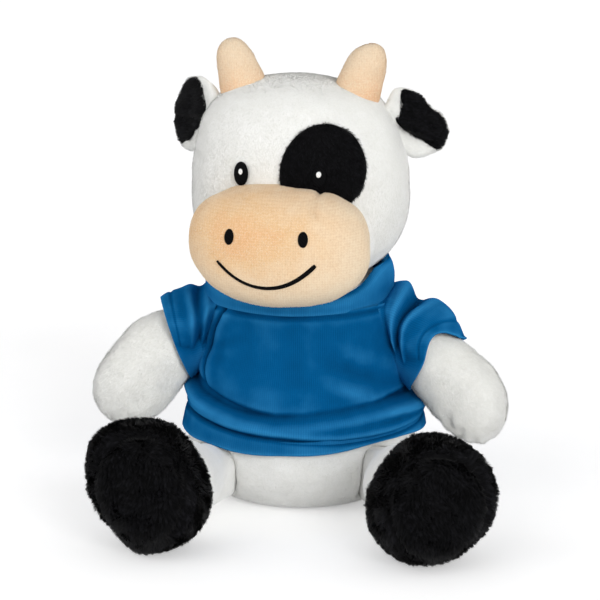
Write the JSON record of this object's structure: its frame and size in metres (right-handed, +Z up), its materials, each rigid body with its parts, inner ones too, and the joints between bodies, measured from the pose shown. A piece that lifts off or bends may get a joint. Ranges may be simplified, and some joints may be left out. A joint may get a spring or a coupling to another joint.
{
  "type": "plush cow",
  "caption": "Sitting plush cow with soft horns, a stitched face with one dark eye patch, a knitted T-shirt and long-pile feet; its limbs, head, ears and tail bend at their seams.",
  "frame": {"origin": "middle of the flat seat, on the surface that the toy sits on", "axes": "+Z up, -Y the way the toy faces, +X its own left side"},
  "size_m": [0.187, 0.2025, 0.2037],
  "materials": {
    "plush_white": "soft short-pile plush",
    "plush_black": "soft plush, longer on the feet",
    "plush_tan": "soft very short velour",
    "knit_blue": "matte fine knit",
    "stitch_black": "satin-stitched thread",
    "stitch_white": "satin-stitched thread",
    "seat_cloth": "plain woven cloth",
    "bag_cloth": "plain woven cloth"
  },
  "bodies": {
    "torso": {"torso": "plush_white", "seat_panel": "seat_cloth", "pellet_bag": "bag_cloth", "shirt_body": "knit_blue", "neckband": "knit_blue"},
    "head": {"head": "plush_white", "muzzle": "plush_tan", "eye_patch": "plush_black", "smile_stitch": "stitch_black", "horn_left": "plush_tan", "horn_right": "plush_tan", "eye_left": "stitch_black", "eye_right": "stitch_black", "eye_glint_left": "stitch_white", "eye_glint_right": "stitch_white", "nostril_left": "stitch_black", "nostril_right": "stitch_black"},
    "tail": {"tail": "plush_white", "tail_tuft": "plush_black"},
    "ear_left": {"ear_left": "plush_white", "ear_lining_left": "plush_black"},
    "arm_left": {"arm_left": "plush_white", "sleeve_left": "knit_blue"},
    "leg_left": {"leg_left": "plush_white", "boot_left": "plush_black", "sole_left": "plush_black"},
    "ear_right": {"ear_right": "plush_white", "ear_lining_right": "plush_black"},
    "arm_right": {"arm_right": "plush_white", "sleeve_right": "knit_blue"},
    "leg_right": {"leg_right": "plush_white", "boot_right": "plush_black", "sole_right": "plush_black"}
  },
  "joints": [
    {"name": "head_turn", "type": "hinge", "parent": "torso", "child": "head", "pos_m": [0, -0.003, 0.095], "axis": [0, 0, 1], "range_deg": [-20, 25], "stiffness_Nm_per_rad": 0.5},
    {"name": "ear_left_fold", "type": "hinge", "parent": "head", "child": "ear_left", "pos_m": [0.04093, -0.00558, 0.172], "axis": [0, 0, 1], "range_deg": [-15, 15], "stiffness_Nm_per_rad": 0.02},
    {"name": "ear_right_fold", "type": "hinge", "parent": "head", "child": "ear_right", "pos_m": [-0.04076, 0.00157, 0.172], "axis": [0, 0, -1], "range_deg": [-20, 0], "stiffness_Nm_per_rad": 0.02},
    {"name": "arm_left_lift", "type": "hinge", "parent": "torso", "child": "arm_left", "pos_m": [0.0435, -0.004, 0.074], "axis": [0, -1, 0], "range_deg": [0, 30], "stiffness_Nm_per_rad": 0.08},
    {"name": "arm_right_lift", "type": "hinge", "parent": "torso", "child": "arm_right", "pos_m": [-0.0395, -0.004, 0.074], "axis": [0, 1, 0], "range_deg": [0, 25], "stiffness_Nm_per_rad": 0.08},
    {"name": "leg_left_spread", "type": "hinge", "parent": "torso", "child": "leg_left", "pos_m": [0.031, -0.031, 0.02], "axis": [0, 0, 1], "range_deg": [-10, 15], "stiffness_Nm_per_rad": 0.1},
    {"name": "leg_right_spread", "type": "hinge", "parent": "torso", "child": "leg_right", "pos_m": [-0.03, -0.031, 0.02], "axis": [0, 0, -1], "range_deg": [-10, 15], "stiffness_Nm_per_rad": 0.1},
    {"name": "tail_wag", "type": "hinge", "parent": "torso", "child": "tail", "pos_m": [0.001, 0.045, 0.019], "axis": [0, 0, 1], "range_deg": [-30, 30], "stiffness_Nm_per_rad": 0.02}
  ]
}
